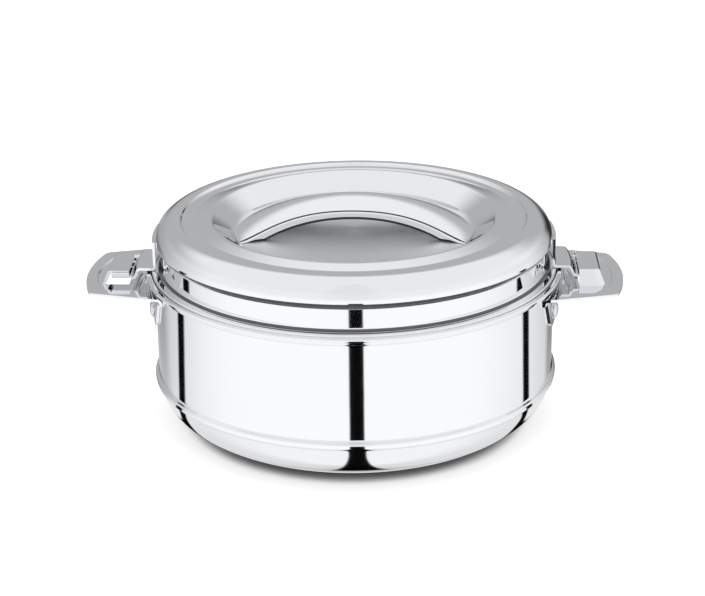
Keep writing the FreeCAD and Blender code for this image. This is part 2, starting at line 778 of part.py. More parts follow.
def handle(side, degrees):
    """One stamped handle, made on +X and swung to its side: plate, wall flange, pressed floor and bridge.

    The bridge is open towards the pot, and at its +Y end, where an ear of the lid swings in.
    """
    body = doc.addObject("PartDesign::Body", f"{side}_handle_pressing")
    body.Placement = about_axis(degrees)

    # the flat plate, cut back round the pot
    plate = outline(body_sketch(body, f"{side}_plate_outline", "XY_Plane", HANDLE_UNDER), PLATE)
    pad(body, f"{side}_plate", plate, "handle_sheet")
    root = circle(body_sketch(body, f"{side}_root_circle", "XY_Plane"), "0", "0", ROOT_RADIUS)
    through_cut(body, f"{side}_root_cut", root, "rim_height")

    # the wall flange, bent down from the plate and curved to the pot
    flange_profile = outline(
        body_sketch(body, f"{side}_flange_profile", "XZ_Plane"),
        (
            ("wall_radius + wall_fit", HANDLE_TOP + " - flange_drop"),
            (RIVET_SEAT, HANDLE_TOP + " - flange_drop"),
            (RIVET_SEAT, HANDLE_UNDER, "root_bend - handle_sheet"),
            (ROOT_RADIUS + " + small_bend", HANDLE_UNDER),
            (ROOT_RADIUS + " + small_bend", HANDLE_TOP),
            ("wall_radius + wall_fit", HANDLE_TOP, "root_bend"),
        ),
    )
    flange = feature(body, "Revolution", f"{side}_flange", flange_profile)
    flange.ReferenceAxis = (origin_part(body, "Z_Axis"), [""])
    flange.Midplane = True
    bind(flange, "Angle", "flange_turn")
    trimmed_through(body, f"{side}_flange_trim", "YZ_Plane", FLANGE, "3 * rim_height")

    # the floor, pressed down by the same step above and below
    for name, level in (("step_under", HANDLE_UNDER), ("step_over", HANDLE_TOP)):
        sketch = outline(body_sketch(body, f"{side}_{name}_outline", "XY_Plane", level), DISH)
        kind = "Pad" if name == "step_under" else "Pocket"
        step = feature(body, kind, f"{side}_{name}", sketch)
        step.Reversed = kind == "Pad"
        bind(step, "Length", "dish_depth")
        bind(step, "TaperAngle", "-dish_draft")

    # the bridge, lanced along its inner and open edges and drawn up out of the floor
    bridge_loft(body, "AdditiveLoft", f"{side}_bridge", HANDLE_UNDER, BRIDGE_TOP, "0")
    bridge_edges = worth("wall_radius + bridge_inner + crease_bend"), worth("bridge_open - crease_bend")

    def formed(point, height):
        free = point.x > bridge_edges[0] and point.y < bridge_edges[1]
        return free and abs(point.z - height) < worth("wall_fit")

    crown = worth(BRIDGE_TOP)
    rounded(body, f"{side}_bridge_crown", "bridge_bend", lambda point: formed(point, crown))
    bridge_loft(body, "SubtractiveLoft", f"{side}_bridge_room", FLOOR_UNDER, BRIDGE_ROOF, BRIDGE_WALL)
    return body


for side, degrees in SIDES:
    pressing = handle(side, degrees)
    finished(cut(f"{side}_handle_bored", pressing, shell_holes), f"{side}_handle")

# ---------------------------------------------------------------- lock ears

EAR_TOP = "(" + FLANGE_TOP + " + wall_fit + ear_sheet)"
TONGUE_TOP = "(" + HANDLE_TOP + " + tongue_height)"
TONGUE_END = "(ear_trail - ear_sheet - ear_bend)"
STEP_FOOT = "(wall_radius + ear_flat + ear_step_run)"

LEVEL = Placement()
ACROSS = Placement(Vector(0, 0, 0), Rotation(Vector(1, 1, 1), 120))


def prism(name, plane, corners, start, length):
    """An outline extruded along its normal: LEVEL is the XY plane, ACROSS the YZ plane with y as its x."""
    sketch = doc.addObject("Sketcher::SketchObject", name + "_outline")
    normal = plane.Rotation.multVec(Vector(0, 0, 1))
    sketch.Placement = Placement(normal * worth(start), plane.Rotation)
    outline(sketch, corners)
    block = doc.addObject("Part::Extrusion", name)
    block.Base = sketch
    block.Dir = normal
    block.Solid = True
    bind(block, "LengthFwd", length)
    return block


# An ear is a welded leg that hugs the lid's waist, a flat over the pot's rim, a step down and a tongue
# that turns in under the bridge. Its trailing end stands up as a lip, which stops against the bridge.
for side, degrees in SIDES:
    bent_strip = pressed_sheet(
        f"{side}_ear_strip",
        (
            (WAIST + " + wall_fit + ear_sheet", EAR_TOP + " + ear_leg"),
            (WAIST + " + wall_fit + ear_sheet", EAR_TOP, "ear_bend"),
            ("wall_radius + ear_flat", EAR_TOP, "ear_bend + ear_sheet"),
            (STEP_FOOT, TONGUE_TOP, "ear_bend"),
            ("wall_radius + ear_tip", TONGUE_TOP),
        ),
        "-ear_sheet",
        worth("ear_turn"),
    )
    ear_plan = prism(
        f"{side}_ear_plan",
        LEVEL,
        (
            ("wall_radius / 2", "-ear_lead"),
            ("wall_radius + ear_tip - ear_tip_cut", "-ear_lead", "ear_corner_bend"),
            ("wall_radius + ear_tip - ear_tip_cut", TONGUE_END, "ear_corner_bend"),
            (STEP_FOOT, TONGUE_END),
            (STEP_FOOT, "ear_trail"),
            ("wall_radius / 2", "ear_trail"),
        ),
        HANDLE_TOP,
        "rim_height",
    )
    strip = doc.addObject("Part::Common", f"{side}_ear_cut_out")
    strip.Base = bent_strip
    strip.Tool = ear_plan
    lip = prism(
        f"{side}_ear_lip",
        ACROSS,
        (
            (TONGUE_END + " - ear_bend", TONGUE_TOP + " - ear_sheet"),
            ("ear_trail", TONGUE_TOP + " - ear_sheet", "ear_bend + ear_sheet"),
            ("ear_trail", TONGUE_TOP + " - ear_sheet + stop_height", "crease_bend"),
            ("ear_trail - ear_sheet", TONGUE_TOP + " - ear_sheet + stop_height", "crease_bend"),
            ("ear_trail - ear_sheet", TONGUE_TOP, "ear_bend"),
            (TONGUE_END + " - ear_bend", TONGUE_TOP),
        ),
        STEP_FOOT + " + ear_bend",
        "ear_tip - ear_flat - ear_step_run - ear_bend - stop_inset",
    )
    ear = finished(together(f"{side}_ear", [strip, lip]), f"{side}_lock_ear")
    ear.Placement = about_axis(degrees)

# ---------------------------------------------------------------- grip of the lid

GRIP_SPAN = "(" + RECESS + " - grip_clearance)"
ARCH = "((" + GRIP_SPAN + " ^ 2 + grip_rise ^ 2) / (2 * grip_rise))"
ARCH_AXIS = "(" + FLOOR + " + grip_rise - " + ARCH + ")"
GRIP_REACH = "(" + GRIP_SPAN + " + grip_margin)"


def round_block(body, kind, name, out):
    """A sphere or cylinder of the grip: its own axis lies along Y, at the height of the arch's axis."""
    block = body.newObject("PartDesign::" + kind, name)
    block.AttachmentSupport = [(origin_part(body, "XZ_Plane"), "")]
    block.MapMode = "FlatFace"
    bind(block, "AttachmentOffset.Base.y", ARCH_AXIS)
    bind(block, "AttachmentOffset.Base.z", out)
    return block


def grip_block(name, inset):
    """The grip as a solid with a spherical back, waisted in plan, and cut off level at its feet."""
    body = doc.addObject("PartDesign::Body", name)
    back = round_block(body, "AdditiveSphere", name + "_back", "0")
    bind(back, "Radius", f"{ARCH} - {inset}")
    waisted = (
        (f"-{GRIP_REACH}", f"-grip_end + {inset}"),
        ("0", f"-grip_waist + {inset}", "grip_waist_bend"),
        (GRIP_REACH, f"-grip_end + {inset}"),
    )
    trimmed_through(body, name + "_plan", "XY_Plane", mirrored(waisted, axis=1), "2 * wall_radius")
    below = outline(
        body_sketch(body, name + "_below", "XZ_Plane"),
        (
            ("-2 * wall_radius", "-2 * wall_radius"),
            ("2 * wall_radius", "-2 * wall_radius"),
            ("2 * wall_radius", f"{FLOOR} + {inset}"),
            ("-2 * wall_radius", f"{FLOOR} + {inset}"),
        ),
    )
    through_cut(body, name + "_foot", below, GRIP_REACH)
    foot = worth(f"{FLOOR} + {inset} + wall_fit")
    rounded(body, name + "_edges", f"grip_edge_bend - {inset}", lambda point: point.z > foot)
    return body


# The arched grip is one pressed shell with turned-down lips along its sides and turned-in feet, which
# are spot-welded to the floor of the lid's recess.
grip = grip_block("grip_outside", "0")
arch_room = round_block(grip, "SubtractiveCylinder", "grip_arch_room", "-" + GRIP_REACH)
bind(arch_room, "Radius", ARCH + " - grip_depth")
bind(arch_room, "Height", "2 * " + GRIP_REACH)
finished(cut("grip_pressing", grip, grip_block("grip_inside", "grip_sheet")), "lid_grip")

# ---------------------------------------------------------------- check and write

doc.recompute()
for thing in doc.Objects:
    if "Invalid" in thing.State or "Error" in thing.State:
        raise RuntimeError(f"{thing.Name} failed: {thing.State}")

os.makedirs("parts", exist_ok=True)
for piece in pieces:
    shape = piece.Shape
    if shape.isNull() or not shape.isValid() or not shape.Solids:
        raise RuntimeError(f"{piece.Label} has no valid solid")
    shape.exportStep(f"parts/{piece.Label}.step")
    print(piece.Label, len(shape.Solids), round(shape.Volume), "mm3")
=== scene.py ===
import math

import bmesh
import bpy
from mathutils import Matrix, Vector


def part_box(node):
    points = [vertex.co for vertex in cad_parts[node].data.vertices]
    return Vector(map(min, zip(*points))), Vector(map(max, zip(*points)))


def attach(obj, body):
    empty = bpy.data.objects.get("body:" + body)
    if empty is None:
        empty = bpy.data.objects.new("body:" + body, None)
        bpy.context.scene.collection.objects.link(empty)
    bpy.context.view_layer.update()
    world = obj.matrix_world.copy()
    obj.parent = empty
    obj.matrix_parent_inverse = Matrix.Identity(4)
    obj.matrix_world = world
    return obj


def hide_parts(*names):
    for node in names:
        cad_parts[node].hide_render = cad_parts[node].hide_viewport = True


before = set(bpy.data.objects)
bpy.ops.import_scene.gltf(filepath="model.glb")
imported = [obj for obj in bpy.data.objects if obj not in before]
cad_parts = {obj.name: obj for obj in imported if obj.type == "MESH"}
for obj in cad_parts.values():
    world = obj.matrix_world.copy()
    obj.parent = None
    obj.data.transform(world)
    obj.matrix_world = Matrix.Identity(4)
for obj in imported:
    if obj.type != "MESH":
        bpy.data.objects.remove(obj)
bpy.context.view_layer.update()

# ---------------------------------------------------------------- outer shell of the pot
# Deep-drawn from one sheet of stainless steel, 0.7 mm thick: a bowl below a pressed bead, a straight wall,
# and a flared rim. It stands on the flat ring round its recessed base, and is polished to a mirror.

MM = 0.001
SHEET = 0.7 * MM
SEAM_GAP = 0.1 * MM
SMALL_BEND = 1.5 * MM

rim_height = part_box("inner_liner")[1].z
WALL = 120.8 * MM
BEAD_FOOT = 27.7 * MM
BEAD_WIDTH = 5.4 * MM
BEAD_DEPTH = 2.2 * MM
BEAD_BEND = 1.4 * MM
BASE_RECESS = 1.6 * MM
FOOT_OUT = WALL - 31 * MM
FOOT_IN = FOOT_OUT - 10 * MM
LEDGE = rim_height - 3.3 * MM
STEP_OUT_RADIUS = WALL + 1.9 * MM + 2 * SHEET + SEAM_GAP
HEM_OUT = WALL + 5.3 * MM
FLARE = LEDGE - 2 * SHEET - SEAM_GAP
TURNED_EDGE = rim_height - 2 * SHEET - SEAM_GAP
FILL_HOLE = 9 * MM
FOOT_BEND = 28 * MM
BOWL_BEND = 52 * MM
BOWL_SIDE_BEND = 25 * MM

ROUND_SEGMENTS = 216
ARC_STEP = math.radians(3.2)
ARC_CHORD = 0.22 * MM
EDGE_SUPPORT = 0.35 * MM
LONGEST_RUN = 9 * MM
SHARP_EDGE = math.radians(32)
ON_AXIS = 1e-9
SAME_POINT = 2e-6
NO_LENGTH = 1e-7


def bent(corners, closed=False):
    """Points along straight runs through corners (x, z) or (x, z, bend), with each bend a round arc."""
    count = len(corners)
    flat = [Vector(corner[:2]) for corner in corners]
    arcs = []
    for i, corner in enumerate(corners):
        bend = corner[2] if len(corner) > 2 else 0
        if not bend:
            arcs.append([flat[i]])
            continue
        before = (flat[i] - flat[i - 1]).normalized()
        after = (flat[(i + 1) % count] - flat[i]).normalized()
        turn = before.angle_signed(after)
        setback = bend * math.tan(abs(turn) / 2)
        start = flat[i] - before * setback
        steps = max(2, min(math.ceil(abs(turn) / ARC_STEP), math.ceil(bend * abs(turn) / ARC_CHORD)))
        side = -1 if turn > 0 else 1
        centre = start + Vector((-before.y, before.x)) * bend * side
        arm = start - centre
        arcs.append([centre + Matrix.Rotation(-turn * k / steps, 2) @ arm for k in range(steps + 1)])
    points = []
    for i in range(count):
        points += arcs[i]
        if i == count - 1 and not closed:
            break
        start, end = arcs[i][-1], arcs[(i + 1) % count][0]
        run = (end - start).length
        if run > 3 * EDGE_SUPPORT:
            inner = [EDGE_SUPPORT, run - EDGE_SUPPORT]
            pieces = max(1, math.ceil((run - 2 * EDGE_SUPPORT) / LONGEST_RUN))
            inner[1:1] = [EDGE_SUPPORT + (run - 2 * EDGE_SUPPORT) * k / pieces for k in range(1, pieces)]
            points += [start.lerp(end, along / run) for along in inner]
    return points


def other_face(corners, thickness):
    """The same corners on the sheet's other face, which lies to the line's left for a thickness above 0."""
    moved = []
    for i, corner in enumerate(corners):
        here = Vector(corner[:2])
        ways = []
        if i > 0:
            ways.append((here - Vector(corners[i - 1][:2])).normalized())
        if i < len(corners) - 1:
            ways.append((Vector(corners[i + 1][:2]) - here).normalized())
        lefts = [Vector((-way.y, way.x)) for way in ways]
        shift = sum(lefts, Vector((0, 0))) * thickness / (1 + lefts[0].dot(lefts[-1]))
        bend = corner[2] if len(corner) > 2 else 0
        if bend:
            left_turn = lefts[0].x * lefts[-1].y - lefts[0].y * lefts[-1].x > 0
            bend = max(0, bend - thickness if left_turn else bend + thickness)
        moved.append((*(here + shift), bend))
    if len(ways) == 1 and abs(corners[0][0]) < ON_AXIS:
        moved[0] = (0, moved[0][1], 0)
    return moved


def pressed(corners, thickness):
    """The closed section of a sheet whose one face follows the corners."""
    return [*corners, *reversed(other_face(corners, thickness))]


def lathe_tree():
    """Geometry nodes that turn a row of points about Z, any number of segments round."""
    tree = bpy.data.node_groups.new("turned_on_a_lathe", "GeometryNodeTree")
    tree.interface.new_socket("Section", in_out="INPUT", socket_type="NodeSocketGeometry")
    tree.interface.new_socket("Segments", in_out="INPUT", socket_type="NodeSocketInt")
    tree.interface.new_socket("Finish", in_out="INPUT", socket_type="NodeSocketMaterial")
    tree.interface.new_socket("Turned", in_out="OUTPUT", socket_type="NodeSocketGeometry")

    def node(kind, **settings):
        made = tree.nodes.new(kind)
        for key, value in settings.items():
            setattr(made, key, value)
        return made

    def math_node(operation, *values):
        made = node("ShaderNodeMath", operation=operation)
        for socket, value in zip(made.inputs, values):
            if isinstance(value, (int, float)):
                socket.default_value = value
            else:
                tree.links.new(value, socket)
        return made.outputs[0]

    given = node("NodeGroupInput")
    section, segments, finish = given.outputs[:3]
    size = node("GeometryNodeAttributeDomainSize")
    tree.links.new(section, size.inputs[0])
    rows = size.outputs["Point Count"]
    columns = math_node("ADD", segments, 1)
    grid = node("GeometryNodeMeshGrid")
    tree.links.new(rows, grid.inputs["Vertices X"])
    tree.links.new(columns, grid.inputs["Vertices Y"])
    index = node("GeometryNodeInputIndex").outputs[0]
    row = math_node("FLOOR", math_node("DIVIDE", math_node("ADD", index, 0.5), columns))
    column = math_node("SUBTRACT", index, math_node("MULTIPLY", row, columns))
    angle = math_node("MULTIPLY", math_node("DIVIDE", column, segments), 2 * math.pi)
    point = node("GeometryNodeSampleIndex", data_type="FLOAT_VECTOR", domain="POINT")
    tree.links.new(section, point.inputs["Geometry"])
    tree.links.new(node("GeometryNodeInputPosition").outputs[0], point.inputs["Value"])
    tree.links.new(row, point.inputs["Index"])
    turn = node("ShaderNodeVectorRotate", rotation_type="Z_AXIS")
    tree.links.new(point.outputs[0], turn.inputs["Vector"])
    tree.links.new(angle, turn.inputs["Angle"])
    place = node("GeometryNodeSetPosition")
    tree.links.new(grid.outputs["Mesh"], place.inputs["Geometry"])
    tree.links.new(turn.outputs[0], place.inputs["Position"])
    merge = node("GeometryNodeMergeByDistance")
    merge.inputs["Distance"].default_value = SAME_POINT
    tree.links.new(place.outputs[0], merge.inputs["Geometry"])
    smooth = node("GeometryNodeSetShadeSmooth")
    tree.links.new(merge.outputs[0], smooth.inputs["Geometry"])
    coat = node("GeometryNodeSetMaterial")
    tree.links.new(smooth.outputs[0], coat.inputs["Geometry"])
    tree.links.new(finish, coat.inputs["Material"])
    realize = node("GeometryNodeRealizeInstances")
    tree.links.new(coat.outputs[0], realize.inputs[0])
    out = node("NodeGroupOutput")
    tree.links.new(realize.outputs[0], out.inputs[0])
    return tree


LATHE = lathe_tree()


def run_nodes(obj, tree, values):
    """Runs a tree of geometry nodes on an object, and keeps what it makes as the object's plain mesh."""
    modifier = obj.modifiers.new("nodes", "NODES")
    modifier.node_group = tree
    sockets = {item.name: item.identifier for item in tree.interface.items_tree}
    for name, value in values.items():
        modifier[sockets[name]] = value
    bpy.context.view_layer.update()
    depsgraph = bpy.context.evaluated_depsgraph_get()
    made = bpy.data.meshes.new_from_object(obj.evaluated_get(depsgraph))
    obj.modifiers.clear()
    obj.data = made
    made.name = obj.name
    return obj


def faced_outwards(mesh):
    """Merges what touches, turns every face outwards, and keeps only the real edges sharp."""
    work = bmesh.new()
    work.from_mesh(mesh)
    bmesh.ops.remove_doubles(work, verts=work.verts, dist=SAME_POINT)
    bmesh.ops.dissolve_degenerate(work, edges=work.edges, dist=NO_LENGTH)
    bmesh.ops.recalc_face_normals(work, faces=work.faces)
    work.to_mesh(mesh)
    work.free()
    mesh.shade_smooth()
    mesh.set_sharp_from_angle(angle=SHARP_EDGE)


def new_piece(name, mesh):
    piece = bpy.data.objects.new(name, mesh)
    bpy.context.scene.collection.objects.link(piece)
    return piece


def turned(name, corners, finish, segments=ROUND_SEGMENTS, place=None):
    """A piece turned about Z from the corners of its section, which is closed unless it ends on the axis."""
    on_axis = max(corners[0][0], corners[-1][0]) < ON_AXIS
    points = bent(corners, closed=not on_axis)
    if not on_axis:
        points.append(points[0])
    row = bpy.data.meshes.new(name)
    row.from_pydata([(p.x, 0, p.y) for p in points], [(i, i + 1) for i in range(len(points) - 1)], [])
    piece = new_piece(name, row)
    run_nodes(piece, LATHE, {"Segments": segments, "Finish": finish})
    if place:
        piece.data.transform(place)
    faced_outwards(piece.data)
    return piece


class Wiring:
    """Short hand for shader nodes."""

    def __init__(self, tree):
        self.nodes = tree.nodes
        self.links = tree.links

    def node(self, kind, inputs=(), **settings):
        made = self.nodes.new(kind)
        for key, value in settings.items():
            setattr(made, key, value)
        for key, value in dict(inputs).items():
            if isinstance(value, bpy.types.NodeSocket):
                self.links.new(value, made.inputs[key])
            else:
                made.inputs[key].default_value = value
        return made

    def maths(self, operation, *values):
        made = self.node("ShaderNodeMath", dict(enumerate(values)), operation=operation)
        return made.outputs[0]

    def noise(self, vector, scale, detail=3.0, roughness=0.55):
        wanted = {"Vector": vector, "Scale": scale, "Detail": detail, "Roughness": roughness}
        return self.node("ShaderNodeTexNoise", wanted).outputs["Fac"]

    def mapped(self, value, low, high):
        made = self.node("ShaderNodeMapRange", {"Value": value, "To Min": low, "To Max": high})
        return made.outputs["Result"]

    def mixed(self, share, first, second):
        made = self.node("ShaderNodeMixRGB", {"Fac": share, "Color1": (*first, 1), "Color2": (*second, 1)})
        return made.outputs["Color"]

    def soft_step(self, value, start, end, first=0.0, last=1.0):
        """A smooth change from the first value to the last, between start and end."""
        wanted = {"Value": value, "From Min": start, "From Max": end, "To Min": first, "To Max": last}
        return self.node("ShaderNodeMapRange", wanted, interpolation_type="SMOOTHSTEP").outputs["Result"]

    def below(self, value, level, soft):
        """1 where the value is less than the level, and 0 above it, with a soft edge between."""
        return self.soft_step(value, level - soft, level + soft, 1.0, 0.0)

    def above(self, value, level, soft):
        """1 where the value is more than the level, and 0 below it."""
        return self.below(self.maths("MULTIPLY", value, -1.0), -level, soft)

    def near(self, value, centre, half, soft):
        """1 where the value lies within half of the centre, and 0 outside."""
        off = self.maths("ABSOLUTE", self.maths("SUBTRACT", value, centre))
        return self.below(off, half, soft)

    def squared(self, value):
        return self.maths("MULTIPLY", value, value)

    def product(self, first, *others):
        for other in others:
            first = self.maths("MULTIPLY", first, other)
        return first

    def dimmed(self, light, share, where):
        """The light, less its share where the mask is 1."""
        return self.product(light, self.maths("SUBTRACT", 1.0, self.maths("MULTIPLY", where, share)))


class Recipe(Wiring):
    """A material and its nodes."""

    def __init__(self, name):
        self.material = bpy.data.materials.new(name)
        self.material.use_nodes = True
        super().__init__(self.material.node_tree)
        self.shader = self.nodes["Principled BSDF"]
        self.place = self.node("ShaderNodeTexCoord").outputs["Object"]

    def bump(self, height, distance, strength=1.0, under=None):
        wanted = {"Height": height, "Distance": distance, "Strength": strength}
        if under is not None:
            wanted["Normal"] = under
        return self.node("ShaderNodeBump", wanted).outputs["Normal"]

    def set(self, **inputs):
        for key, value in inputs.items():
            name = key.replace("_", " ")
            if isinstance(value, bpy.types.NodeSocket):
                self.links.new(value, self.shader.inputs[name])
            else:
                self.shader.inputs[name].default_value = value
        return self.material


def round_place(recipe):
    """Radius, height and a slow drift, so that lathe and polishing lines run round a turned piece."""
    x, y, z = recipe.node("ShaderNodeSeparateXYZ", {0: recipe.place}).outputs
    radius = recipe.maths("SQRT", recipe.maths("ADD", recipe.squared(x), recipe.squared(y)))
    drift = recipe.maths("MULTIPLY", x, 0.02)
    return recipe.node("ShaderNodeCombineXYZ", {0: radius, 1: z, 2: drift}).outputs[0]


WHEEL_LINES = 2600.0
WHEEL_LINE_DEPTH = 0.0009 * MM


def mirror_steel(name, colour, gloss=0.045, turned_lines=True, waviness=0.06 * MM):
    """Stainless steel polished on a wheel: faint smudges, a slow waviness and very fine polishing lines."""
    recipe = Recipe(name)
    smudge = recipe.noise(recipe.place, 34.0, 4.0)
    wave = recipe.noise(recipe.place, 21.0, 1.5)
    lines_place = round_place(recipe) if turned_lines else recipe.place
    lines = recipe.noise(lines_place, WHEEL_LINES, 2.0)
    waved = recipe.bump(wave, waviness)
    lined = recipe.bump(lines, WHEEL_LINE_DEPTH, under=waved)
    paler = tuple(min(1, c * 1.03) for c in colour)
    return recipe.set(
        Base_Color=recipe.mixed(smudge, colour, paler),
        Metallic=1.0,
        Roughness=recipe.mapped(smudge, gloss * 0.7, gloss * 1.5),
        Normal=lined,
    )


MIRROR = mirror_steel("mirror_steel", (0.86, 0.87, 0.885))

SHELL_LINE = [
    (FILL_HOLE, BASE_RECESS),
    (FOOT_IN - BASE_RECESS, BASE_RECESS, SMALL_BEND),
    (FOOT_IN, 0, SMALL_BEND),
    (FOOT_OUT, 0, FOOT_BEND),
    (WALL - 18 * MM, 4.2 * MM, BOWL_BEND),
    (WALL - 3.4 * MM, 14.5 * MM, BOWL_SIDE_BEND),
    (WALL, BEAD_FOOT, BEAD_BEND),
    (WALL + BEAD_DEPTH, BEAD_FOOT + BEAD_DEPTH / 2, BEAD_BEND),
    (WALL + BEAD_DEPTH, BEAD_FOOT + BEAD_WIDTH - BEAD_DEPTH / 2, BEAD_BEND),
    (WALL, BEAD_FOOT + BEAD_WIDTH, BEAD_BEND),
    (WALL, FLARE, SMALL_BEND),
    (STEP_OUT_RADIUS, FLARE, SMALL_BEND),
    (STEP_OUT_RADIUS, TURNED_EDGE),
    (HEM_OUT - SHEET - SEAM_GAP, TURNED_EDGE),
]
shell = turned("pot_shell", pressed(SHELL_LINE, SHEET), MIRROR)
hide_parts("outer_shell")
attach(shell, "pot")

# ---------------------------------------------------------------- food vessel
# The inner liner, drawn from the same sheet and left satin where the food lies. Its mouth spreads into the
# ledge for the lid, steps up, and is folded over the shell's turned edge as the pot's flat rim hem.

LINER = WALL - 15.8 * MM
LINER_FLOOR = 12 * MM
HEM_IN = WALL + 1.9 * MM
HEM_LOW = rim_height - 2.3 * MM
HEM_BEND = 0.95 * MM
CREASE_BEND = 0.5 * MM
SCOURED_LINES = 900.0
SCOURED_DEPTH = 0.006 * MM


def satin_steel(name, colour, roughness=0.26):
    """Steel with the fine lines that a scouring wheel leaves round it."""
    recipe = Recipe(name)
    round_lines = recipe.noise(round_place(recipe), SCOURED_LINES, 5.0, 0.7)
    cloud = recipe.noise(recipe.place, 26.0, 3.0)
    paler = tuple(min(1, c * 1.06) for c in colour)
    return recipe.set(
        Base_Color=recipe.mixed(round_lines, colour, paler),
        Metallic=1.0,
        Roughness=recipe.mapped(cloud, roughness * 0.8, roughness * 1.25),
        Anisotropic=0.45,
        Normal=recipe.bump(round_lines, SCOURED_DEPTH),
    )


def finished_where(piece, finish, chosen):
    """Gives another finish to the faces whose radius and height the rule chooses."""
    piece.data.materials.append(finish)
    slot = len(piece.data.materials) - 1
    for face in piece.data.polygons:
        if chosen(math.hypot(*face.center[:2]), face.center.z):
            face.material_index = slot


LINER_STEEL = satin_steel("liner_steel", (0.76, 0.77, 0.785))
LINER_LINE = [
    (0, LINER_FLOOR),
    (LINER, LINER_FLOOR, 18 * MM),
    (LINER, LEDGE, 2.5 * MM),
    (HEM_IN, LEDGE, CREASE_BEND),
    (HEM_IN, rim_height, HEM_BEND),
    (HEM_OUT, rim_height, HEM_BEND),
    (HEM_OUT, HEM_LOW, HEM_BEND),
    (STEP_OUT_RADIUS + SEAM_GAP, HEM_LOW),
]
liner = turned("food_vessel", pressed(LINER_LINE, -SHEET), LINER_STEEL)
finished_where(liner, MIRROR, lambda radius, z: radius > HEM_IN - SHEET)
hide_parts("inner_liner")
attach(liner, "pot")

# ---------------------------------------------------------------- foam between the two walls
# Rigid polyurethane, poured through the hole in the base and left to rise until it fills the space.
# The two walls seal it in.

CELL_DEPTH = 0.3 * MM


def foam(name, colour):
    """Rigid foam: fine cells, a little darker where they are open."""
    recipe = Recipe(name)
    cells = recipe.node("ShaderNodeTexVoronoi", {"Vector": recipe.place, "Scale": 700.0}).outputs["Distance"]
    cloud = recipe.noise(recipe.place, 40.0)
    darker = tuple(c * 0.86 for c in colour)
    return recipe.set(
        Base_Color=recipe.mixed(cloud, colour, darker),
        Roughness=recipe.mapped(cloud, 0.75, 0.95),
        Normal=recipe.bump(cells, CELL_DEPTH),
    )


FOAM = foam("foam", (0.87, 0.8, 0.58))


def coated(node, finish):
    """Gives a piece of the frame its finish."""
    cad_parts[node].data.materials.clear()
    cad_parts[node].data.materials.append(finish)


coated("pot_insulation", FOAM)

# ---------------------------------------------------------------- button in the base
# A moulded plastic button, pressed into the hole that the foam was poured through. A barb holds it.

BUTTON_RADIUS = 13 * MM
BUTTON_HEAD = 0.9 * MM
BUTTON_PLAY = 0.1 * MM
BARB = 0.6 * MM
BARB_TAPER = 2 * MM
BARB_LENGTH = 4 * MM
GRAIN_DEPTH = 0.02 * MM


def moulded_plastic(name, colour):
    """Injection-moulded plastic with a fine spark-eroded grain."""
    recipe = Recipe(name)
    grain = recipe.noise(recipe.place, 1500.0, 4.0)
    cloud = recipe.noise(recipe.place, 60.0)
    paler = tuple(c * 1.25 for c in colour)
    return recipe.set(
        Base_Color=recipe.mixed(cloud, colour, paler),
        Roughness=recipe.mapped(grain, 0.38, 0.55),
        Normal=recipe.bump(grain, GRAIN_DEPTH),
    )


PLUG_PLASTIC = moulded_plastic("plug_plastic", (0.05, 0.05, 0.055))


def button(name, face):
    """A button whose head lies under a sheet with its underside at the height face."""
    over = face + SHEET
    neck = FILL_HOLE - BUTTON_PLAY
    top = over + BARB_LENGTH
    corners = [
        (0, face - BUTTON_HEAD),
        (BUTTON_RADIUS, face - BUTTON_HEAD, CREASE_BEND),
        (BUTTON_RADIUS, face),
        (neck, face),
        (neck, over),
        (FILL_HOLE + BARB, over),
        (FILL_HOLE - BARB_TAPER, top),
        (0, top),
    ]
    return turned(name, corners, PLUG_PLASTIC, segments=96)


base_button = button("base_button", BASE_RECESS)
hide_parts("fill_plug")
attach(base_button, "pot")

# ---------------------------------------------------------------- handles
# Each handle is stamped from 1.6 mm steel: a flat rim round a pressed floor, a flange bent down against the
# wall for two rivets, and a bridge lanced and drawn up, under which the lid's ear turns in.

EDGE_ROUNDING = 0.22 * MM
FLAT_ENOUGH = math.radians(0.4)
ROUNDED_EDGE = math.radians(38)


def smooth_copy(node, name, finish, edge_rounding=EDGE_ROUNDING):
    """A copy of a piece of the frame with merged points, lightly rounded edges and even shading."""
    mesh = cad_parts[node].data.copy()
    mesh.name = name
    work = bmesh.new()
    work.from_mesh(mesh)
    bmesh.ops.remove_doubles(work, verts=work.verts, dist=SAME_POINT)
    bmesh.ops.dissolve_degenerate(work, edges=work.edges, dist=NO_LENGTH)
    bmesh.ops.dissolve_limit(
        work, angle_limit=FLAT_ENOUGH, use_dissolve_boundaries=False, verts=work.verts, edges=work.edges
    )
    work.to_mesh(mesh)
    work.free()
    mesh.materials.clear()
    mesh.materials.append(finish)
    mesh.shade_smooth()
    piece = new_piece(name, mesh)
    bevel = piece.modifiers.new("edges", "BEVEL")
    bevel.width = edge_rounding
    bevel.segments = 2
    bevel.limit_method = "ANGLE"
    bevel.angle_limit = ROUNDED_EDGE
    bevel.harden_normals = False
    bevel.use_clamp_overlap = True
    weighted = piece.modifiers.new("shading", "WEIGHTED_NORMAL")
    weighted.keep_sharp = True
    weighted.weight = 100
    bpy.context.view_layer.update()
    depsgraph = bpy.context.evaluated_depsgraph_get()
    made = bpy.data.meshes.new_from_object(piece.evaluated_get(depsgraph))
    piece.modifiers.clear()
    piece.data = made
    made.name = name
    return piece


PRESSED = mirror_steel(
    "pressed_steel", (0.84, 0.85, 0.865), gloss=0.06, turned_lines=False, waviness=0.3 * MM
)
for side in ("right", "left"):
    handle = smooth_copy(f"{side}_handle", f"{side}_handle_stamping", PRESSED)
    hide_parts(f"{side}_handle")
    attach(handle, "pot")

# ---------------------------------------------------------------- rivets and their washers
# Steel rivets with low, round-edged heads go through each handle's flange and the pot's wall, two for each
# handle. Their tails are upset over washers behind the wall.

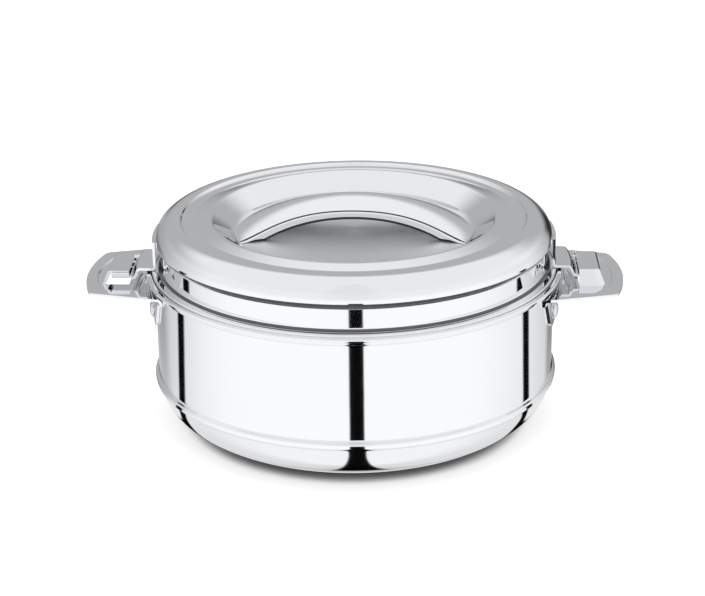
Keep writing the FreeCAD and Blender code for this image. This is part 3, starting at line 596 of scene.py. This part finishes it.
RIVET_STEEL = satin_steel("rivet_steel", (0.74, 0.75, 0.765), 0.2)
for side in ("right", "left"):
    coated(f"{side}_rivet_washers", RIVET_STEEL)
    coated(f"{side}_handle_rivets", RIVET_STEEL)

# ---------------------------------------------------------------- seat ring
# A soft moulded silicone ring, laid loose on the ledge at the pot's mouth. The lid's flange closes on it.

HEIGHT_OF_SEAT = 1.8 * MM
SKIN_DEPTH = 0.015 * MM
SKIN_GLOW = 4 * MM


def silicone(name, colour):
    """Moulded silicone rubber: milky, soft to the light, with a fine matt skin."""
    recipe = Recipe(name)
    skin = recipe.noise(recipe.place, 1100.0, 3.0)
    cloud = recipe.noise(recipe.place, 30.0)
    paler = tuple(min(1, c * 1.06) for c in colour)
    return recipe.set(
        Base_Color=recipe.mixed(cloud, colour, paler),
        Roughness=recipe.mapped(skin, 0.42, 0.6),
        Subsurface_Weight=0.15,
        Subsurface_Radius=(SKIN_GLOW, SKIN_GLOW, SKIN_GLOW),
        Normal=recipe.bump(skin, SKIN_DEPTH),
    )


SILICONE = silicone("silicone", (0.82, 0.82, 0.8))
SEAT_OUT = HEM_IN - 0.8 * MM
SEAT_IN = SEAT_OUT - 9 * MM
seat = turned(
    "silicone_seat",
    [
        (SEAT_IN, LEDGE),
        (SEAT_OUT, LEDGE),
        (SEAT_OUT, LEDGE + HEIGHT_OF_SEAT, CREASE_BEND),
        (SEAT_IN, LEDGE + HEIGHT_OF_SEAT, CREASE_BEND),
    ],
    SILICONE,
)
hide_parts("seat_ring")
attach(seat, "seat_ring")

# ---------------------------------------------------------------- inner pan of the lid
# A shallow satin pan, drawn from the same sheet, closes the lid from below. Its edge lies inside the
# folded flange of the cover, which holds it.

FLANGE_LOW = LEDGE + HEIGHT_OF_SEAT
FLANGE_TOP = FLANGE_LOW + 2.5 * MM
FLANGE = HEM_IN - 0.3 * MM
PAN_FLANGE = FLANGE_LOW + SHEET + SEAM_GAP
PAN_LOW = PAN_FLANGE - 7 * MM
PAN = LINER - 2.5 * MM
PAN_LINE = [
    (FILL_HOLE, PAN_LOW),
    (PAN, PAN_LOW, 4 * MM),
    (PAN, PAN_FLANGE, SMALL_BEND),
    (FLANGE - SHEET - SEAM_GAP, PAN_FLANGE),
]
pan = turned("lid_pan", pressed(PAN_LINE, SHEET), LINER_STEEL)
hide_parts("lid_inner_pan")
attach(pan, "lid")

# ---------------------------------------------------------------- foam and button of the lid
# The lid is filled with the same foam as the pot, through a hole in its pan. The same moulded button is
# pressed into that hole.

coated("lid_insulation", FOAM)
lid_button = button("lid_button", PAN_LOW)
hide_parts("lid_fill_plug")
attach(lid_button, "lid")

# ---------------------------------------------------------------- cover of the lid
# Drawn and pressed from one sheet, and mirror-polished: a recess for the grip, a raised ring, a flat terrace,
# a domed shoulder, a narrow waist, and the flange that is folded under the pan's edge. The recess floor is
# left satin, and the creases above and below the waist get a dark steel as painted shade.

WAIST = WALL - 4 * MM
DOME = WALL - 1.3 * MM
UNDERCUT_TOP = FLANGE_TOP + 17 * MM
UNDERCUT_LOW = UNDERCUT_TOP - 3.95 * MM
CREASE = DOME + 0.45 * (WAIST - DOME)
CREASE_LOW = UNDERCUT_TOP + 0.45 * (UNDERCUT_LOW - UNDERCUT_TOP)
CREST = FLANGE_TOP + 29.5 * MM
TERRACE = CREST - 1.4 * MM
RECESS_FLOOR = CREST - 9.2 * MM
STEP_OUT = DOME - 15.4 * MM
STEP_IN = STEP_OUT - 0.8 * MM
RIB_FOOT = STEP_IN - 6.5 * MM
RIB = RIB_FOOT - 10.4 * MM
RECESS = RIB - 13.2 * MM
COVER_LINE = [
    (0, RECESS_FLOOR),
    (RECESS, RECESS_FLOOR, 3 * MM),
    (RIB, TERRACE + 1.9 * MM, 5 * MM),
    (RIB_FOOT, TERRACE, SMALL_BEND),
    (STEP_IN, TERRACE, CREASE_BEND),
    (STEP_OUT, CREST, HEM_BEND),
    (DOME, CREST, 12.2 * MM),
    (DOME, UNDERCUT_TOP, CREASE_BEND),
    (CREASE, CREASE_LOW),
    (WAIST, UNDERCUT_LOW, CREASE_BEND),
    (WAIST, FLANGE_TOP, 2.2 * MM),
    (FLANGE, FLANGE_TOP, HEM_BEND),
    (FLANGE, FLANGE_LOW, HEM_BEND),
    (FLANGE - 3.2 * MM, FLANGE_LOW),
]
RECESS_STEEL = satin_steel("recess_steel", (0.72, 0.73, 0.745), 0.38)
# A dark steel for the creases under the dome and at the waist's foot: painted shade.
CREASE_SHADE_STEEL = satin_steel("crease_painted_shade", (0.13, 0.13, 0.135), 0.3)
SATIN_MARGIN = 1.5 * MM
FLOOR_PLAY = 0.3 * MM
CREASE_MARGIN = 0.1 * MM
FOOT_CREASE = 1.6 * MM


def on_recess_floor(radius, z):
    return radius < RECESS - SATIN_MARGIN and z < RECESS_FLOOR + FLOOR_PLAY


def under_the_dome(radius, z):
    return radius > WAIST + CREASE_MARGIN and CREASE_LOW < z < UNDERCUT_TOP


def at_the_waist_foot(radius, z):
    return 0 < radius - WAIST < FOOT_CREASE and 0 < z - FLANGE_TOP < FOOT_CREASE


cover = turned("lid_cover_pressing", pressed(COVER_LINE, -SHEET), MIRROR)
finished_where(cover, RECESS_STEEL, on_recess_floor)
# The two creases get the dark steel, as painted shade.
finished_where(cover, CREASE_SHADE_STEEL, under_the_dome)
finished_where(cover, CREASE_SHADE_STEEL, at_the_waist_foot)
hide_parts("lid_cover")
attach(cover, "lid")

# ---------------------------------------------------------------- lock ears
# Bent from 1.5 mm strip: a leg spot-welded to the side of the lid's dome, a flat over the rim, a step down
# and a tongue with a stop lip, which turns in under the handle's bridge.

LEG_REACH = WALL + 0.2 * MM
LEG_TOP = UNDERCUT_TOP + 1 * MM
LEG_END = 0.8 * MM


def leg_on_dome(ear):
    """Sets the ear's leg out from the waist to the dome's side, and draws it up to the height of its weld."""
    near_lid = [v.co for v in ear.data.vertices if v.co.xy.length < LEG_REACH]
    top = max(co.z for co in near_lid)
    for co in near_lid:
        out = 1 + (DOME - WAIST) / co.xy.length
        co.x *= out
        co.y *= out
        if co.z > top - LEG_END:
            co.z += LEG_TOP - top


for side in ("right", "left"):
    ear = smooth_copy(f"{side}_lock_ear", f"{side}_ear", PRESSED)
    leg_on_dome(ear)
    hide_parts(f"{side}_lock_ear")
    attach(ear, "lid")

# ---------------------------------------------------------------- grip
# One pressed strap, crowned across and arched along, with turned-down lips and spread feet that follow
# the wall of the recess. It is spot-welded to the floor. The lips' edges and the folds above them are given
# a near-black steel: painted shade.

GRIP_RADIUS = RECESS - 0.6 * MM
GRIP_RISE = 22 * MM
FOOT_HEIGHT = 1.4 * MM
GRIP_SHEET = 1.2 * MM
WAIST_HALF = 17.4 * MM
FOOT_HALF = 30 * MM
LIP_ARCH = 138.4 * MM
LIP_AXIS = RECESS_FLOOR - 127 * MM
FOLD = 1.9 * MM
DARK_EDGE = 2.4 * MM
DARK_SHARE = 0.6
CROWN_SHARE = 0.25
FOOT_CROWN_SHARE = 0.55
CROWN_POWER = 4
SPREAD_POWER = 2.5
FOLD_SHARE = 0.8
SMALLEST_INSIDE_BEND = 0.05 * MM
SHORTEST_LIP = 0.1 * MM
GRIP_STATIONS = 120
BACK_STEPS = 26
FOLD_STEPS = 7
ARCH_RISE = GRIP_RISE - FOOT_HEIGHT
GRIP_ARCH = (GRIP_RADIUS**2 + ARCH_RISE**2) / (2 * ARCH_RISE)


def grip_section(x):
    """Pairs of points (y, z), outside and inside, from one lip's edge over the back to the other's."""
    along = min(1, abs(x) / GRIP_RADIUS)
    height = GRIP_RISE - GRIP_ARCH + math.sqrt(GRIP_ARCH**2 - (along * GRIP_RADIUS) ** 2)
    half = WAIST_HALF + (FOOT_HALF - WAIST_HALF) * along**SPREAD_POWER
    drop = (height - FOOT_HEIGHT) * (CROWN_SHARE + FOOT_CROWN_SHARE * along**CROWN_POWER)
    slope = math.atan(2 * drop / half)
    fold = max(GRIP_SHEET + SMALLEST_INSIDE_BEND, min(FOLD, FOLD_SHARE * (height - drop)))
    edge = half - fold * (1 - math.sin(slope))

    def crown(y):
        return RECESS_FLOOR + height - drop * (y / edge) ** 2

    centre = Vector((edge, crown(edge))) - fold * Vector((math.sin(slope), math.cos(slope)))
    lip_low = RECESS_FLOOR
    if abs(x) < LIP_ARCH:
        lip_low = max(lip_low, LIP_AXIS + math.sqrt(LIP_ARCH**2 - x**2))
    lip_low = min(lip_low, centre.y - SHORTEST_LIP)
    # The top of the band of painted shade along the lip's edge.
    dark_top = lip_low + DARK_SHARE * min(DARK_EDGE, centre.y - lip_low)
    side = [((half, z), (half - GRIP_SHEET, z)) for z in (lip_low, dark_top)]
    for k in range(FOLD_STEPS + 1):
        angle = (math.pi / 2 - slope) * k / FOLD_STEPS
        way = Vector((math.cos(angle), math.sin(angle)))
        side.append((tuple(centre + way * fold), tuple(centre + way * (fold - GRIP_SHEET))))
    outer_edge, inner_edge = side[-1]
    middle = []
    for k in range(1, BACK_STEPS):
        share = 1 - 2 * k / BACK_STEPS
        outside = (outer_edge[0] * share, crown(outer_edge[0] * share))
        inside = (inner_edge[0] * share, outside[1] - GRIP_SHEET)
        middle.append((outside, inside))
    other = [tuple((-y, z) for y, z in pair) for pair in reversed(side)]
    return side + middle + other


def pressed_grip(name, finish, shade_finish):
    """The strap, from its sections along the arch. The stations lie closer together towards the feet."""
    vertices, faces, dark = [], [], []
    for station in range(GRIP_STATIONS + 1):
        share = math.sin(math.pi / 2 * (2 * station / GRIP_STATIONS - 1))
        pairs = grip_section(share * GRIP_RADIUS)
        for pair in pairs:
            for y, z in pair:
                vertices.append((share * math.sqrt(GRIP_RADIUS**2 - y**2), y, z))
    count = len(pairs)
    last = GRIP_STATIONS * 2 * count
    # The rows at the lips' edges and in the folds take the near-black steel, as painted shade.
    folds = {2 + FOLD_STEPS // 2, 3 + FOLD_STEPS // 2, 4 + FOLD_STEPS // 2}
    dark_rows = {0, count - 2} | folds | {count - 2 - row for row in folds}
    for station in range(GRIP_STATIONS):
        here, there = station * 2 * count, (station + 1) * 2 * count
        for i in range(count - 1):
            a, b = 2 * i, 2 * i + 2
            faces.append((here + a, here + b, there + b, there + a))
            dark.append(i in dark_rows)
            faces.append((here + a + 1, there + a + 1, there + b + 1, here + b + 1))
            dark.append(False)
        # The lips' cut edges take the painted shade too.
        for a in (0, 2 * count - 2):
            faces.append((here + a, there + a, there + a + 1, here + a + 1))
            dark.append(True)
    for end in (0, last):
        for i in range(count - 1):
            a, b = end + 2 * i, end + 2 * i + 2
            faces.append((a, a + 1, b + 1, b))
            dark.append(False)
    mesh = bpy.data.meshes.new(name)
    mesh.from_pydata(vertices, [], faces)
    mesh.materials.append(finish)
    mesh.materials.append(shade_finish)
    for face, is_dark in zip(mesh.polygons, dark):
        face.material_index = int(is_dark)
    faced_outwards(mesh)
    return new_piece(name, mesh)


GRIP_STEEL = mirror_steel("grip_steel", (0.9, 0.905, 0.915), gloss=0.13, turned_lines=False)
# A near-black steel for the lips' edges and the folds: painted shade.
FOLD_SHADE_STEEL = satin_steel("fold_painted_shade", (0.05, 0.05, 0.052), 0.3)
grip = pressed_grip("grip", GRIP_STEEL, FOLD_SHADE_STEEL)
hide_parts("lid_grip")
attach(grip, "lid")

# ---------------------------------------------------------------- surroundings
# White screens all round, as for shooting steel. They leave a narrow dark gap in front, which runs on under
# the table, and one behind on each side, and the room behind is a little darker.

CAMERA_TURN = math.radians(2.2)
SCREEN_LIGHT = 1.1
DARK = 0.997
# For each gap behind: its bearing, its lowest height, and how fast it rises to the sides
REAR_GAPS = ((-149.0, -35.8, 0.0150), (147.0, -38.3, 0.0160))
GAP_HALF = 2.1
GAP_WIDENING = 0.0014
GAP_REACH = 42.0


def surroundings():
    """Screens painted by bearing (0 at the camera, + to its right) and height, both in degrees."""
    world = bpy.data.worlds.new("surroundings")
    bpy.context.scene.world = world
    world.use_nodes = True
    wiring = Wiring(world.node_tree)
    maths, product, dimmed = wiring.maths, wiring.product, wiring.dimmed
    near, below, above = wiring.near, wiring.below, wiring.above
    way = wiring.node("ShaderNodeTexCoord").outputs["Generated"]
    turned_way = wiring.node(
        "ShaderNodeVectorRotate", {"Vector": way, "Angle": -CAMERA_TURN}, rotation_type="Z_AXIS"
    ).outputs[0]
    right, back, up = wiring.node("ShaderNodeSeparateXYZ", {0: turned_way}).outputs
    front = maths("MULTIPLY", back, -1.0)
    bearing = maths("DEGREES", maths("ARCTAN2", right, front))
    height = maths("DEGREES", maths("ARCSINE", up))
    aside = maths("ABSOLUTE", bearing)

    white_behind = product(above(aside, 162.0, 4.0), near(height, -9.0, 10.0, 3.0))
    elsewhere = maths("SUBTRACT", 1.0, white_behind)
    band = product(near(height, 6.0, 27.0, 9.0), elsewhere)
    front_gap = product(
        near(right, 0.008, 0.066, 0.007), below(height, -17.5, 1.5), above(front, -0.6, 0.1)
    )
    shades = [
        # the screens themselves: upper half, ceiling, floor level, and round the camera
        (0.12, above(height, -1.0, 11.0)),
        (0.04, above(height, 30.0, 12.0)),
        (0.07, below(height, -36.0, 7.0)),
        (0.06, product(near(bearing, -2.0, 15.0, 10.0), above(height, -2.0, 6.0))),
        # the room behind: all of it, then its left and its right part
        (0.2, product(above(aside, 100.0, 40.0), elsewhere, below(height, 8.0, 10.0))),
        (0.5, product(below(bearing, -117.0, 33.0), band)),
        (0.5, product(above(bearing, 133.0, 22.0), band)),
        # the narrow openings behind, which draw the lines at the ends of the lid's rings
        (0.92, product(near(bearing, 156.0, 9.0, 5.0), near(height, -8.0, 15.0, 7.0))),
        (0.5, product(near(bearing, -150.0, 12.0, 8.0), near(height, -15.0, 9.0, 5.0))),
        (0.8, product(near(aside, 169.0, 6.0, 4.0), near(height, -8.0, 12.0, 6.0))),
        # under the far edge of the table, and the gap in front
        (0.3, product(above(aside, 165.0, 14.0), below(height, -38.0, 8.0))),
        (DARK, front_gap),
    ]
    for bearing_of_gap, depth, spread in REAR_GAPS:
        off = wiring.squared(maths("SUBTRACT", bearing, bearing_of_gap))
        line = maths("ADD", maths("MULTIPLY", off, spread), depth)
        thickness = maths("ADD", maths("MULTIPLY", off, GAP_WIDENING), GAP_HALF)
        gap = near(maths("DIVIDE", maths("SUBTRACT", height, line), thickness), 0.0, 1.0, 0.3)
        reach = near(bearing, bearing_of_gap, GAP_REACH, 3.0)
        shades.append((DARK, product(gap, reach, below(height, -15.0, 2.0))))

    light = SCREEN_LIGHT
    for share, where in shades:
        light = dimmed(light, share, where)

    path = wiring.node("ShaderNodeLightPath").outputs
    light = dimmed(light, 1.0, product(path["Diffuse Depth"], below(height, 8.0, 8.0)))
    plain = maths("MAXIMUM", path["Is Camera Ray"], path["Is Diffuse Ray"])
    colour = wiring.mixed(plain, (0.985, 0.99, 1.0), (1, 1, 1))
    strength = maths("ADD", maths("MULTIPLY", light, maths("SUBTRACT", 1.0, plain)), plain)
    sky = wiring.nodes["Background"]
    wiring.links.new(colour, sky.inputs["Color"])
    wiring.links.new(strength, sky.inputs["Strength"])


surroundings()

# ---------------------------------------------------------------- floor
# A white table top. It shows the pot's own shadow close to the foot, and is left out of the steel's
# reflections, which show the screens and the gap under the table instead.

FLOOR_HALF = 30
FLOOR_GLOW = 0.6
SHADOW_REACH = 45 * MM
SHADOW_DEEPEST = 0.12
SHADOW_END = 0.3


def table_white():
    recipe = Recipe("table_white")
    grain = recipe.noise(recipe.place, 90.0)
    seen = recipe.node("ShaderNodeLightPath").outputs["Is Camera Ray"]
    open_sky = recipe.node("ShaderNodeAmbientOcclusion", {"Distance": SHADOW_REACH}, samples=32).outputs["AO"]
    lit = recipe.soft_step(open_sky, SHADOW_DEEPEST, SHADOW_END)
    return recipe.set(
        Base_Color=recipe.mixed(grain, (0.8, 0.8, 0.8), (0.79, 0.79, 0.79)),
        Roughness=0.9,
        Specular_IOR_Level=0.0,
        Emission_Color=(1, 1, 1, 1),
        Emission_Strength=recipe.product(seen, lit, FLOOR_GLOW),
    )


floor_mesh = bpy.data.meshes.new("floor")
floor_corners = [(x * FLOOR_HALF, y * FLOOR_HALF, 0) for x, y in ((-1, -1), (1, -1), (1, 1), (-1, 1))]
floor_mesh.from_pydata(floor_corners, [], [(0, 1, 2, 3)])
floor_mesh.materials.append(table_white())
floor = new_piece("floor", floor_mesh)
floor.visible_glossy = False

# ---------------------------------------------------------------- camera
# It stands in front, a little to the right of the handles' cross axis, and looks down on the lid.

CAMERA_DISTANCE = 1.179
CAMERA_PITCH = math.radians(21.11)
CAMERA_ROLL = math.radians(-0.66)
AIM_HEIGHT = 0.073
PICTURE_WIDTH = 705
SENSOR_WIDTH = 36
FOCUS_PIXELS = 1927
AXIS_OFFSET_PIXELS = 2.08
camera = bpy.data.objects.new("camera", bpy.data.cameras.new("camera"))
bpy.context.scene.collection.objects.link(camera)
camera.data.sensor_width = SENSOR_WIDTH
camera.data.lens = FOCUS_PIXELS * SENSOR_WIDTH / PICTURE_WIDTH
camera.data.shift_x = -AXIS_OFFSET_PIXELS / PICTURE_WIDTH
camera.data.clip_start = 0.05
camera.data.clip_end = 200
look = Matrix.Rotation(CAMERA_TURN, 4, "Z")
back = Vector((0, -math.cos(CAMERA_PITCH), math.sin(CAMERA_PITCH)))
tilt = Matrix.Rotation(math.pi / 2 - CAMERA_PITCH, 4, "X")
roll = Matrix.Rotation(CAMERA_ROLL, 4, "Z")
stand = Matrix.Translation(back * CAMERA_DISTANCE + Vector((0, 0, AIM_HEIGHT)))
camera.matrix_world = look @ stand @ tilt @ roll
bpy.context.scene.camera = camera
bpy.context.scene.view_settings.view_transform = "Standard"
